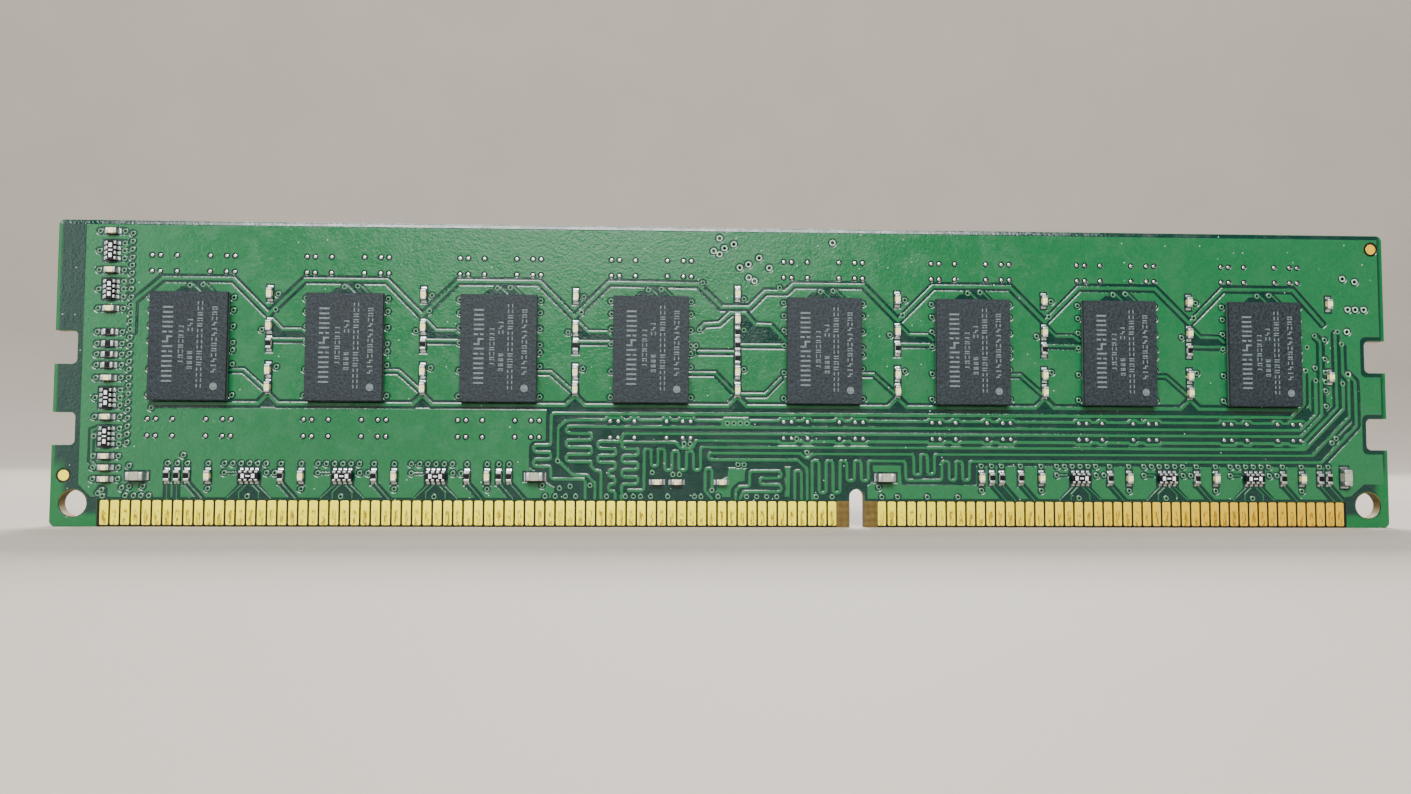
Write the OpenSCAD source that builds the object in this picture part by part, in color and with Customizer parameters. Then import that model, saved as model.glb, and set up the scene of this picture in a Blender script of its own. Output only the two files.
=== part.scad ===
// Double-sided unbuffered memory module with 240 edge contacts, standing on its contact edge.
// X runs along the board, Y through its thickness and Z up from the contact edge.
// The back face looks towards -Y, and the origin is the middle of the contact edge.

/* [Board] */
// Length of the board along the socket
board_length = 133.35; // [133.2:0.05:133.5]
// Height from the contact edge to the top edge
board_height = 30; // [29.9:0.05:30.15]
// Thickness over both solder masks
board_thickness = 1.27; // [1.2:0.01:1.34]
// Radius of the board's corners
corner_r = 0.6; // [0.3:0.1:1]
// Thickness of the outer and inner copper
copper_t = 0.035; // [0.02:0.005:0.05]
// Solder mask over the copper
mask_t = 0.025; // [0.015:0.005:0.04]
// Prepreg between an outer and an inner copper layer
prepreg_t = 0.09; // [0.06:0.01:0.12]

/* [Edge] */
// Middle of the key notch along the board
key_x = 12; // [11.9:0.05:12.1]
// Width of the key notch
key_w = 1.5; // [1.4:0.05:1.6]
// Height of the key notch
key_h = 3.8; // [3.6:0.1:4]
// Depth of the latch notches in both ends
latch_depth = 2.15; // [1.8:0.05:2.3]
// Middle and height of each latch notch up the board's ends
latch_notches = [[9.5, 3.2], [17.45, 3.3]]; // [two notches]
// Radius of the latch notches' inner corners
latch_r = 0.5; // [0.2:0.1:0.8]
// Diameter of the two tooling holes
hole_d = 2.6; // [2.4:0.05:2.7]
// Tooling hole's distance from the middle of the board
hole_x = 64.5; // [64.3:0.05:64.6]
// Tooling hole's height
hole_z = 2.25; // [2.2:0.05:2.5]

/* [Contacts] */
// Distance from one contact to the next
contact_pitch = 1; // [1:1]
// Width of a contact
contact_w = 0.85; // [0.75:0.05:0.9]
// Bottom and top of a contact
contact_z = [0.17, 2.55]; // [low and high]
// Contacts left and right of the key notch
contact_counts = [72, 48]; // [left and right]

/* [Memory packages] */
// Width of a package along the board
dram_w = 7.5; // [7:0.1:8]
// Height of a package up the board
dram_h = 10.6; // [10:0.1:11]
// Thickness of the moulded part
mould_t = 0.5; // [0.45:0.01:0.65]
// Thickness of the package substrate
substrate_t = 0.15; // [0.12:0.01:0.25]
// Gap between the solder mask and the package substrate
package_gap = 0.25; // [0.22:0.01:0.34]
// Diameter of a solder ball
ball_d = 0.42; // [0.38:0.01:0.46]
// Distance from one ball to the next
ball_pitch = 0.8; // [0.8:0.8]
// Height of the packages' middle
dram_z = 17.6; // [17.4:0.05:17.9]
// Middle of the innermost package
dram_first_x = 8.65; // [8.5:0.05:8.9]
// Distance from one package to the next
dram_pitch = 15; // [14.9:0.05:15.1]
// Packages on each half of a face
drams_per_half = 4; // [4:4]

/* [Small parts] */
// Length, width and height of a chip capacitor
capacitor = [1.0, 0.5, 0.5]; // [length, width, height]
// Length, width and height of a chip resistor
resistor = [1.0, 0.5, 0.35]; // [length, width, height]
// Length, width and height of a bulk capacitor
bulk = [1.6, 0.8, 0.8]; // [length, width, height]
// Length, width and height of a four-resistor array
array4 = [2.0, 1.0, 0.4]; // [length, width, height]
// Distance between an array's terminals
array_pitch = 0.5; // [0.5:0.5]
// Reach of the solder beyond a part's end
fillet = 0.28; // [0.2:0.02:0.34]
// Body of the presence-detect memory: along the board, up the board, height
eeprom = [4.4, 3.0, 0.9]; // [length, width, height]
// Place of the presence-detect memory on the front face
eeprom_at = [0.5, 27]; // [x and z]
// Low corner and size of the label on the front face
label_box = [-42.6, 13.5, 37.8, 8.2]; // [x, z, length, height]

/* [Hidden] */

$fn = 48;
half_l = board_length / 2;
half_t = board_thickness / 2;          // outside of the solder mask
copper_y = half_t - mask_t;            // outside of the outer copper
laminate_y = copper_y - copper_t;      // outside of the laminate
core_y = laminate_y - prepreg_t;       // outside of the core
coat_t = 0.04;                         // black coat on a resistor
end_band = 0.24;                       // plated end of a small chip part
bulk_band = 0.38;                      // plated end of a bulk capacitor
terminal_w = 0.3;                      // terminal of an array
terminal_d = 0.2;
edge_window = 62.2;                    // half length of the mask's opening round the contacts
hole_ring = 0.7;                       // copper stays this far from a tooling hole
gap = 0.15;                            // copper stays this far from a part's pads
slit = 0.01;                           // lets a cut run past a face
via_r = 0.15;
via_wall = 0.035;
die = [6, 8.4, 0.22];                  // silicon: width, height, thickness
die_gap = 0.02;
sides = ["back", "front"];

// Places are [x, z, turned], and a turned part stands upright.
function mirrored(k) = (k < drams_per_half ? -1 : 1)
    * (dram_first_x + dram_pitch * (k < drams_per_half ? drams_per_half - 1 - k : k - drams_per_half));
dram_xs = [for (k = [0 : 2 * drams_per_half - 1]) mirrored(k)];
lane_xs = [for (s = [-1, 1], k = [0.5 : 1 : 2.5]) s * (dram_first_x + dram_pitch * k)];
end_lane_x = 60.8;
left_lane_x = -61.5;

lane_caps = [for (x = lane_xs, z = [22.9, 19.7, 15.35, 13.65]) [x, z, true]];
lane_resistors = [for (x = lane_xs) [x, 17.95, true]];
middle_caps = [for (z = [23.3, 20.75, 15.5, 13.65]) [0, z, true]];
middle_resistors = [for (z = [19.45, 18.1, 16.8]) [0, z, true]];
end_caps = [for (z = [22.85, 15.35]) [end_lane_x, z, true]];

// Left-hand termination column, where all parts lie along the board
left_caps = [for (z = [28.9, 25.05, 21.25, 14.45, 10.65, 6.83, 5.72, 4.6]) [left_lane_x, z, false]];
left_resistors = [for (z = [18.95, 17.8, 16.75, 15.7]) [left_lane_x, z, false]];
left_arrays = [for (z = [26.95, 23.15, 12.5, 8.75]) [left_lane_x, z, true]];

// Data lanes above the contacts: an array, then a resistor and a capacitor to its right
row_z = 4.95;
group_xs = [-47.75, -38.75, -29.7, 34.7, 43.65, 52.6];
group_arrays = [for (x = group_xs) [x, row_z, false]];
group_resistors = [for (x = group_xs) [x + 3.03, row_z, true]];
group_caps = [for (x = group_xs) [x + 5, row_z, true]];
row_resistors = [for (x = [-55.6, -54.65, -53.7, -23.55, -22.55, 25.65, 26.65, 28.6, 59.5, 60.4])
    [x, row_z, true]];
row_caps = [for (x = [-51.7, 24.6, 30.7]) [x, row_z, true]];
small_flat_caps = [for (x = [-7.97, -6.03, -1.55]) [x, 4.45, false]];
row_bulk = [[-58.45, 4.9, false], [-20, row_z, false], [14.85, row_z, false], [62.05, 5.1, true]];

caps = [for (s = sides) concat(lane_caps, middle_caps, end_caps, group_caps, row_caps,
    s == "back" ? concat(left_caps, small_flat_caps) : [])];
resistors = [for (s = sides) concat(lane_resistors, middle_resistors, group_resistors, row_resistors,
    s == "back" ? left_resistors : [for (x = group_xs) [x + 2.05, row_z, true]])];
arrays = [for (s = sides) concat(group_arrays, s == "back" ? left_arrays : [])];
bulks = [for (s = sides) row_bulk];
test_dots = [for (x = dram_xs, s = [-1, 1], d = [2, 4, 5], z = [26.58, 25, 10.47, 8.83])
    [x + s * d * ball_pitch, z]];
test_dots_on = [for (s = sides) [for (p = test_dots) if (s == "back" || abs(p[0] - eeprom_at[0]) > 4.5) p]];
fiducial_at = [[-65.45, 4.95], [65.5, 28.6]];
fiducial_r = 0.57;
test_dot_r = 0.2;
bus_zs = [11.2, 9.9, 9.35, 8.2, 7.6, 7, 6.4];
bus_x = [-18.5, 57];
bus_w = 0.3;
open_vias = [[-1.83, 28.92], [-0.4, 28.33], [-1.33, 27.92], [-2.42, 27.62], [-1.83, 27.3],
    [2.17, 26.97], [1.08, 26.3], [0.22, 25.97], [3.2, 25.97], [1.12, 24.97], [1.7, 24.63],
    [9.6, 28.6], [62.42, 25.5], [63.7, 25.2], [62.9, 22.33], [63.7, 22.33], [64.6, 22.33],
    [62.75, 15.67], [62.75, 20.03]];

// ---- Shared shapes ----

// Stands a flat shape drawn in X and Z up between two depths behind the middle plane
module slab(inner, outer) {
    translate([0, -inner, 0]) rotate([90, 0, 0]) linear_extrude(outer - inner) children();
}

module on(side) {
    mirror([0, side == "front" ? 1 : 0, 0]) children();
}

module rounded(x, z, w, h, r) {
    translate([x + r, z]) square([w - 2 * r, h]);
    translate([x, z + r]) square([w, h - 2 * r]);
    for (cx = [x + r, x + w - r], cz = [z + r, z + h - r]) translate([cx, cz]) circle(r);
}

module at(places) {
    for (p = places) translate([p[0], -half_t, p[1]]) rotate([0, p[2] ? 90 : 0, 0]) children();
}

module flat_at(places) {
    for (p = places) translate([p[0], p[1]]) rotate(p[2] ? 90 : 0) children();
}

// A block in a part's own frame: centred along and across, and rising outwards from a height
module block(x, size, rise = 0) {
    translate([x - size[0] / 2, -rise - size[2], -size[1] / 2]) cube([size[0], size[2], size[1]]);
}

// A plated end, which reaches through the mask's opening to its pad
module end_block(s, size, band) {
    block(s * (size[0] - band) / 2, [band, size[1], size[2] + mask_t], -mask_t);
}

// ---- Board ----

module notches(grow = 0) {
    for (s = [-1, 1], n = latch_notches)
        translate([s * (half_l + latch_r), n[0]])
            rounded(-latch_depth - latch_r - grow, -n[1] / 2 - grow, 2 * (latch_depth + latch_r + grow),
                n[1] + 2 * grow, latch_r);
    translate([key_x - key_w / 2 - grow, -1]) square([key_w + 2 * grow, key_h + 1 - key_w / 2]);
    translate([key_x, key_h - key_w / 2]) circle(key_w / 2 + grow);
    for (s = [-1, 1]) translate([s * hole_x, hole_z]) circle(hole_d / 2 + grow);
}

module board_shape() {
    difference() {
        rounded(-half_l, 0, board_length, board_height, corner_r);
        notches();
    }
}

module vias(r) {
    for (v = open_vias) translate([v[0], v[1]]) circle(r, $fn = 24);
}

module plane_shape() {
    difference() {
        translate([-half_l + 0.6, 3]) square([board_length - 1.2, board_height - 3.6]);
        notches(0.5);
        vias(0.35);
        children();
    }
}

module ground_plane() {
    color([0.78, 0.45, 0.25]) slab(core_y, core_y + copper_t) plane_shape();
}

module power_plane() {
    // The slot parts the memory supply from the reference supply
    color([0.74, 0.42, 0.22]) slab(-core_y - copper_t, -core_y) plane_shape()
        translate([-half_l, 6.2]) square([board_length, 0.4]);
}

module board_core() {
    color([0.72, 0.62, 0.36]) slab(-core_y, core_y) difference() {
        board_shape();
        vias(via_r);
    }
}

// The prepreg closes over the inner copper that lies on the core
module prepreg(side) {
    color([0.70, 0.60, 0.34]) difference() {
        on(side) slab(core_y, laminate_y) difference() {
            board_shape();
            vias(via_r);
        }
        if (side == "back") ground_plane();
        else power_plane();
    }
}

module via_barrels() {
    color([0.80, 0.62, 0.32]) slab(-copper_y, copper_y) difference() {
        vias(via_r);
        vias(via_r - via_wall);
    }
}

// ---- Artwork ----

module pad_pair(size, band) {
    for (s = [-1, 1]) translate([s * (size[0] / 2 + (fillet - band) / 2), 0])
        square([band + fillet, size[1]], center = true);
}

module array_pads() {
    for (k = [-1.5 : 1.5], s = [-1, 1])
        translate([k * array_pitch, s * (array4[1] / 2 + (fillet - terminal_d) / 2)])
            square([terminal_w, terminal_d + fillet], center = true);
}

module part_pads(i) {
    flat_at(caps[i]) pad_pair(capacitor, end_band);
    flat_at(resistors[i]) pad_pair(resistor, end_band);
    flat_at(bulks[i]) pad_pair(bulk, bulk_band);
    flat_at(arrays[i]) array_pads();
    if (i == 1) eeprom_pads();
}

// Openings in the pour, one round each cluster of parts
module window(x0, z0, x1, z1) {
    translate([x0 - gap, z0 - gap]) square([x1 - x0 + 2 * gap, z1 - z0 + 2 * gap]);
}

module lane_window(x, low, high) {
    window(x - capacitor[1] / 2, low, x + capacitor[1] / 2, high);
}

module part_windows(i) {
    reach = capacitor[0] / 2 + fillet;
    tall = row_z + array4[1] / 2 + fillet;
    for (x = lane_xs) {
        lane_window(x, 13.7 - reach, 15.4 + reach);
        lane_window(x, 18 - reach, 19.75 + reach);
        lane_window(x, 22.95 - reach, 22.95 + reach);
    }
    lane_window(0, 13.7 - reach, 23.35 + reach);
    for (c = end_caps) lane_window(c[0], c[1] - reach, c[1] + reach);
    for (x = group_xs) window(x - array4[0] / 2, 2 * row_z - tall, x + 5.25, tall);
    for (p = concat(row_resistors, row_caps)) lane_window(p[0], row_z - reach, row_z + reach);
    for (b = bulks[i]) flat_at([b])
        window(-bulk[0] / 2 - fillet, -bulk[1] / 2, bulk[0] / 2 + fillet, bulk[1] / 2);
    if (i == 0) {
        wide = array4[1] / 2 + fillet;
        window(left_lane_x - wide, 7.6, left_lane_x + wide, 29.3);
        window(left_lane_x - reach, 4.3, left_lane_x + reach, 7.1);
        for (p = small_flat_caps) window(p[0] - reach, p[1] - 0.25, p[0] + reach, p[1] + 0.25);
    }
    if (i == 1) translate(eeprom_at) square([7.4, 3.2], center = true);
}

module ball_grid(x) {
    for (s = [-1, 1], c = [2 : 4], r = [-6 : 6])
        translate([x + s * c * ball_pitch, dram_z + r * ball_pitch]) children();
}

// The mask is open over each half of a package's ball grid
module ball_windows() {
    for (x = dram_xs, s = [-1, 1]) translate([x + s * 3 * ball_pitch, dram_z])
        square([2 * ball_pitch + 0.6, 12 * ball_pitch + 0.6], center = true);
}

module dots(i, r) {
    for (p = test_dots_on[i]) translate(p) circle(r, $fn = 24);
}

module fiducial_discs(r) {
    for (p = fiducial_at) translate(p) circle(r);
}

module pour(i) {
    difference() {
        translate([-half_l + 2.6, 3.2]) square([board_length - 3.1, board_height - 3.6]);
        notches(0.35);
        for (s = [-1, 1]) translate([s * hole_x, hole_z]) circle(hole_d / 2 + hole_ring);
        for (x = dram_xs) translate([x, dram_z]) square([dram_w - 0.6, dram_h - 0.2], center = true);
        part_windows(i);
        fiducial_discs(fiducial_r + 0.4);
        vias(via_r + gap);
        translate([bus_x[0] - 0.5, 6.1]) square([bus_x[1] - bus_x[0] + 1, 5.5]);
    }
}

module copper(side) {
    i = side == "front" ? 1 : 0;
    color([0.80, 0.48, 0.26]) on(side) slab(laminate_y, copper_y) {
        pour(i);
        part_pads(i);
        dots(i, test_dot_r + 0.08);
        for (z = bus_zs) translate([bus_x[0], z - bus_w / 2]) square([bus_x[1] - bus_x[0], bus_w]);
    }
}

module solder_mask(side) {
    i = side == "front" ? 1 : 0;
    color([0.10, 0.42, 0.24]) on(side) difference() {
        slab(laminate_y, half_t) difference() {
            board_shape();
            translate([-edge_window, -1]) square([2 * edge_window, 1 + contact_z[1] + 0.07]);
            for (s = [-1, 1]) translate([s * hole_x, hole_z]) circle(hole_d / 2 + 0.08);
            part_pads(i);
            dots(i, test_dot_r);
            fiducial_discs(fiducial_r + 0.3);
            vias(via_r);
            ball_windows();
        }
        slab(laminate_y - slit, copper_y) {
            pour(i);
            dots(i, test_dot_r + 0.08);
            for (z = bus_zs) translate([bus_x[0], z - bus_w / 2]) square([bus_x[1] - bus_x[0], bus_w]);
        }
    }
}

module contacts(side) {
    total = contact_counts[0] + contact_counts[1];
    left_end = key_x - 2.5;
    right_end = key_x + 2.5;
    color([0.93, 0.80, 0.42]) on(side) slab(laminate_y, half_t - 0.01)
        for (k = [0 : total - 1])
            translate([k < contact_counts[0] ? left_end - k * contact_pitch
                : right_end + (k - contact_counts[0]) * contact_pitch, 0])
                translate([-contact_w / 2, contact_z[0]]) square([contact_w, contact_z[1] - contact_z[0]]);
}

module fiducials() {
    color([0.93, 0.80, 0.42]) for (side = sides) on(side) slab(laminate_y, copper_y)
        fiducial_discs(fiducial_r);
}

module test_pads(side) {
    color([0.82, 0.84, 0.84]) on(side) slab(copper_y, half_t + 0.02)
        dots(side == "front" ? 1 : 0, test_dot_r);
}

// ---- Memory packages ----

package_y = half_t + package_gap;      // underside of the substrate
ball_h = package_y - laminate_y;       // a ball and the land under it
mould_y = package_y + substrate_t;     // underside of the mould
top_y = mould_y + mould_t;             // outside of the package

// The mould closes over the die that lies on the substrate
module dram(side, number) {
    color([0.16, 0.17, 0.20]) on(side) translate([dram_xs[number - 1], 0, dram_z]) difference() {
        slab(mould_y, top_y) square([dram_w, dram_h], center = true);
        slab(mould_y - slit, mould_y + die[2] + die_gap)
            square([die[0] + 2 * die_gap, die[1] + 2 * die_gap], center = true);
    }
}

module dram_substrates(side) {
    color([0.18, 0.34, 0.22]) on(side) slab(package_y, mould_y)
        for (x = dram_xs) translate([x, dram_z]) square([dram_w, dram_h], center = true);
}

module dram_dies(side) {
    color([0.45, 0.47, 0.52]) on(side) slab(mould_y, mould_y + die[2])
        for (x = dram_xs) translate([x, dram_z]) square([die[0], die[1]], center = true);
}

module ball_profile() {
    intersection() {
        circle(ball_d / 2);
        translate([0, -ball_h / 2]) square([ball_d, ball_h]);
    }
}

module solder_balls(side) {
    color([0.80, 0.81, 0.82]) on(side) for (x = dram_xs) rotate([90, 0, 0]) ball_grid(x)
        translate([0, 0, laminate_y + ball_h / 2]) rotate_extrude($fn = 24) ball_profile();
}

// ---- Small parts ----

module capacitor_bodies(side) {
    i = side == "front" ? 1 : 0;
    color([0.80, 0.74, 0.60]) on(side) at(caps[i])
        block(0, [capacitor[0] - 2 * end_band, capacitor[1], capacitor[2]]);
}

module capacitor_ends(side) {
    i = side == "front" ? 1 : 0;
    color([0.84, 0.85, 0.86]) on(side) at(caps[i]) for (s = [-1, 1])
        end_block(s, capacitor, end_band);
}

module resistor_bodies(side) {
    i = side == "front" ? 1 : 0;
    color([0.90, 0.90, 0.87]) on(side) at(resistors[i])
        block(0, [resistor[0] - 2 * end_band, resistor[1], resistor[2] - coat_t]);
}

module resistor_ends(side) {
    i = side == "front" ? 1 : 0;
    color([0.84, 0.85, 0.86]) on(side) at(resistors[i]) for (s = [-1, 1])
        end_block(s, resistor, end_band);
}

module resistor_coats(side) {
    i = side == "front" ? 1 : 0;
    color([0.08, 0.08, 0.09]) on(side) {
        at(resistors[i])
            block(0, [resistor[0] - 2 * end_band, resistor[1], coat_t], resistor[2] - coat_t);
        at(arrays[i])
            block(0, [array4[0], array4[1] - 2 * terminal_d, coat_t], array4[2]);
    }
}

module array_bodies(side) {
    i = side == "front" ? 1 : 0;
    color([0.90, 0.90, 0.87]) on(side) at(arrays[i])
        block(0, [array4[0], array4[1] - 2 * terminal_d, array4[2]]);
}

module array_ends(side) {
    i = side == "front" ? 1 : 0;
    color([0.84, 0.85, 0.86]) on(side) at(arrays[i])
        for (k = [-1.5 : 1.5], s = [-1, 1]) translate([0, 0, s * (array4[1] - terminal_d) / 2])
            block(k * array_pitch, [terminal_w, terminal_d, array4[2] + mask_t], -mask_t);
}

module bulk_capacitor_bodies(side) {
    i = side == "front" ? 1 : 0;
    color([0.62, 0.60, 0.55]) on(side) at(bulks[i])
        block(0, [bulk[0] - 2 * bulk_band, bulk[1], bulk[2]]);
}

module bulk_capacitor_ends(side) {
    i = side == "front" ? 1 : 0;
    color([0.84, 0.85, 0.86]) on(side) at(bulks[i]) for (s = [-1, 1])
        end_block(s, bulk, bulk_band);
}

// Solder that fills the rest of the mask's opening and climbs the end face
module joint(x, width, rise) {
    translate([x, 0, 0]) linear_extrude(width, center = true)
        polygon([[0, mask_t], [fillet, mask_t], [0, -rise]]);
}

module joint_pair(size) {
    for (s = [0, 1]) mirror([s, 0, 0]) joint(size[0] / 2, size[1], 0.6 * size[2]);
}

module solder_fillets(side) {
    i = side == "front" ? 1 : 0;
    color([0.78, 0.79, 0.80]) on(side) {
        at(caps[i]) joint_pair(capacitor);
        at(resistors[i]) joint_pair(resistor);
        at(bulks[i]) joint_pair(bulk);
        at(arrays[i]) for (k = [-1.5 : 1.5], s = [-90, 90])
            translate([k * array_pitch, 0, 0]) rotate([0, s, 0])
                joint(array4[1] / 2, terminal_w, 0.6 * array4[2]);
    }
}

// ---- Presence-detect memory and label, on the front face ----

lead_w = 0.22;
lead_t = 0.12;
lead_reach = 1;                        // from the body's side to the toe
lead_rise = 0.5;                       // where the lead leaves the body
foot = 0.55;
standoff = 0.1;

module lead_rows() {
    for (k = [-1.5 : 1.5], s = [0, 1])
        translate([eeprom_at[0], eeprom_at[1] + 0.65 * k]) mirror([s, 0]) children();
}

module eeprom_pads() {
    lead_rows() translate([eeprom[0] / 2 + lead_reach - foot, -lead_w / 2 - 0.04])
        square([foot, lead_w + 0.08]);
}

module eeprom_body() {
    color([0.12, 0.12, 0.13]) translate([eeprom_at[0], half_t + standoff, eeprom_at[1]])
        translate([-eeprom[0] / 2, 0, -eeprom[1] / 2]) cube([eeprom[0], eeprom[2], eeprom[1]]);
}

module eeprom_leads() {
    x = eeprom[0] / 2;
    color([0.80, 0.81, 0.82]) on("front")
        for (k = [-1.5 : 1.5], s = [0, 1])
            translate([eeprom_at[0], -half_t, eeprom_at[1] + 0.65 * k]) mirror([s, 0, 0])
                linear_extrude(lead_w, center = true)
                    polygon([[x, -lead_rise], [x, -lead_rise - lead_t], [x + 0.35, -lead_rise - lead_t],
                        [x + 0.55, -lead_t], [x + lead_reach, -lead_t], [x + lead_reach, 0],
                        [x + 0.45, 0], [x + 0.25, -lead_rise]]);
}

module blank_label() {
    color([0.93, 0.93, 0.90]) on("front") slab(top_y, top_y + 0.08)
        rounded(label_box[0], label_box[1], label_box[2], label_box[3], 0.8);
}

// ---- Nodes ----

board_core();
prepreg("back");  // prepreg_back
prepreg("front");  // prepreg_front
ground_plane();
power_plane();
copper("back");  // copper_back
copper("front");  // copper_front
solder_mask("back");  // solder_mask_back
solder_mask("front");  // solder_mask_front
contacts("back");  // contacts_back
contacts("front");  // contacts_front
via_barrels();
fiducials();
test_pads("back");  // test_pads_back
test_pads("front");  // test_pads_front
dram("back", 1);  // dram_back_1
dram("back", 2);  // dram_back_2
dram("back", 3);  // dram_back_3
dram("back", 4);  // dram_back_4
dram("back", 5);  // dram_back_5
dram("back", 6);  // dram_back_6
dram("back", 7);  // dram_back_7
dram("back", 8);  // dram_back_8
dram("front", 1);  // dram_front_1
dram("front", 2);  // dram_front_2
dram("front", 3);  // dram_front_3
dram("front", 4);  // dram_front_4
dram("front", 5);  // dram_front_5
dram("front", 6);  // dram_front_6
dram("front", 7);  // dram_front_7
dram("front", 8);  // dram_front_8
dram_substrates("back");  // dram_substrates_back
dram_substrates("front");  // dram_substrates_front
dram_dies("back");  // dram_dies_back
dram_dies("front");  // dram_dies_front
solder_balls("back");  // solder_balls_back
solder_balls("front");  // solder_balls_front
capacitor_bodies("back");  // capacitor_bodies_back
capacitor_bodies("front");  // capacitor_bodies_front
capacitor_ends("back");  // capacitor_ends_back
capacitor_ends("front");  // capacitor_ends_front
resistor_bodies("back");  // resistor_bodies_back
resistor_bodies("front");  // resistor_bodies_front
resistor_ends("back");  // resistor_ends_back
resistor_ends("front");  // resistor_ends_front
resistor_coats("back");  // resistor_coats_back
resistor_coats("front");  // resistor_coats_front
array_bodies("back");  // array_bodies_back
array_bodies("front");  // array_bodies_front
array_ends("back");  // array_ends_back
array_ends("front");  // array_ends_front
bulk_capacitor_bodies("back");  // bulk_capacitor_bodies_back
bulk_capacitor_bodies("front");  // bulk_capacitor_bodies_front
bulk_capacitor_ends("back");  // bulk_capacitor_ends_back
bulk_capacitor_ends("front");  // bulk_capacitor_ends_front
solder_fillets("back");  // solder_fillets_back
solder_fillets("front");  // solder_fillets_front
eeprom_body();
eeprom_leads();
blank_label();
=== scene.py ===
"""A double-sided memory module that stands on its contact edge, seen from its back face.

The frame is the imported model's: X along the board, the back face towards -Y and Z up from the contact edge.
Plans are drawn in X and Z in millimetres, and each face's height is measured outwards from the middle plane.
"""
import math

import bmesh
import bpy
from mathutils import Matrix, Vector
from mathutils.geometry import delaunay_2d_cdt


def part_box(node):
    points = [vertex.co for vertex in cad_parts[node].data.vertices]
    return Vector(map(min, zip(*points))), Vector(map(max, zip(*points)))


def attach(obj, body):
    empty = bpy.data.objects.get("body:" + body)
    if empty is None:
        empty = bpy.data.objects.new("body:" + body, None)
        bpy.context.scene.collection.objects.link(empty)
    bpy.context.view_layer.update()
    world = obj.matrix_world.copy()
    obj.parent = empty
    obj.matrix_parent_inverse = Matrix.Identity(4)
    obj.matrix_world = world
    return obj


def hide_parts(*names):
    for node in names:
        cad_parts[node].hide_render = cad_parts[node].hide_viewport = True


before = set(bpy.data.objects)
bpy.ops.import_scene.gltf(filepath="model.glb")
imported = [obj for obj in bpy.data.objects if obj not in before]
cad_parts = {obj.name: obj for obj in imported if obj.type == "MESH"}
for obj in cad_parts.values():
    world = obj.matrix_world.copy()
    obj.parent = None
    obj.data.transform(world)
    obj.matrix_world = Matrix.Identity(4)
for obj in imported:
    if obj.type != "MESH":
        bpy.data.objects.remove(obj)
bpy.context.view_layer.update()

MM = 0.001
SIDES = {"back": -1, "front": 1}


# ---- What the frame says ----

def box_mm(node):
    low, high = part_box(node)
    return low / MM, high / MM


def mesh_mm(node):
    """A node's mesh, and the places of its vertices in mm, rounded so that those that meet are the same."""
    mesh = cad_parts[node].data
    return mesh, [tuple(round(c / MM, 3) for c in v.co) for v in mesh.vertices]


def islands(node):
    """The boxes of a node's separate solids, each as (low, high)."""
    mesh, places = mesh_mm(node)
    parent = {p: p for p in places}

    def root(p):
        while parent[p] != p:
            parent[p] = parent[parent[p]]
            p = parent[p]
        return p

    for face in mesh.polygons:
        first = root(places[face.vertices[0]])
        for i in face.vertices[1:]:
            parent[root(places[i])] = first
    groups = {}
    for p in parent:
        groups.setdefault(root(p), []).append(p)
    boxes = [(tuple(map(min, zip(*g))), tuple(map(max, zip(*g)))) for g in groups.values()]
    return [(Vector(low), Vector(high)) for low, high in sorted(boxes)]


def face_loops(node, height):
    """The closed outlines of a node's flat face at a height in Y, as lists of (x, z)."""
    level_within = 0.002
    mesh, places = mesh_mm(node)
    edges = set()
    for face in mesh.polygons:
        corners = [places[i] for i in face.vertices]
        if any(abs(p[1] - height) > level_within for p in corners):
            continue
        for a, b in zip(corners, corners[1:] + corners[:1]):
            if (b, a) in edges:
                edges.remove((b, a))
            else:
                edges.add((a, b))
    following = dict(sorted(edges))
    loops = []
    while following:
        here, loop = next(iter(following)), []
        while here in following:
            loop.append((here[0], here[2]))
            here = following.pop(here)
        loops.append(anticlockwise(loop))
    return loops


def middle(box):
    return (box[0] + box[1]) / 2


def in_plan(box):
    """A box's middle in X and Z, on the board's middle plane."""
    return middle(box).x, 0, middle(box).z


def span(points):
    xs, zs = zip(*points)
    return max(xs) - min(xs), max(zs) - min(zs)


# ---- Outlines in X and Z ----

def area(points):
    return sum(a[0] * b[1] - b[0] * a[1] for a, b in zip(points, points[1:] + points[:1])) / 2


def anticlockwise(points):
    return points if area(points) > 0 else points[::-1]


def rect(x0, z0, x1, z1):
    return [(x0, z0), (x1, z0), (x1, z1), (x0, z1)]


def circle(x, z, r, sides=14):
    turns = [2 * math.pi * k / sides for k in range(sides)]
    return [(x + r * math.cos(a), z + r * math.sin(a)) for a in turns]


def rounded(x0, z0, x1, z1, r, steps=3):
    """A rectangle with round corners."""
    centres = (x1 - r, z0 + r), (x1 - r, z1 - r), (x0 + r, z1 - r), (x0 + r, z0 + r)
    points = []
    for quarter, (x, z) in enumerate(centres, -1):
        for k in range(steps + 1):
            a = math.radians(90 * quarter + 90 * k / steps)
            points.append((x + r * math.cos(a), z + r * math.sin(a)))
    return points


def mitre(before, here, after, d):
    """The point at a distance d to the right of a line that turns at here, held back on a sharp turn."""
    least_lean = 0.35
    u = (Vector(here) - Vector(before)).normalized()
    v = (Vector(after) - Vector(here)).normalized()
    across = Vector((u.y + v.y, -u.x - v.x))
    if across.length < 1e-6:
        across = Vector((u.y, -u.x))
    across.normalize()
    lean = max(least_lean, across.dot(Vector((u.y, -u.x))))
    return (here[0] + across.x * d / lean, here[1] + across.y * d / lean)


def grow(points, d):
    """An anticlockwise outline moved outwards by d."""
    n = len(points)
    return [mitre(points[k - 1], points[k], points[(k + 1) % n], d) for k in range(n)]


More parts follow.
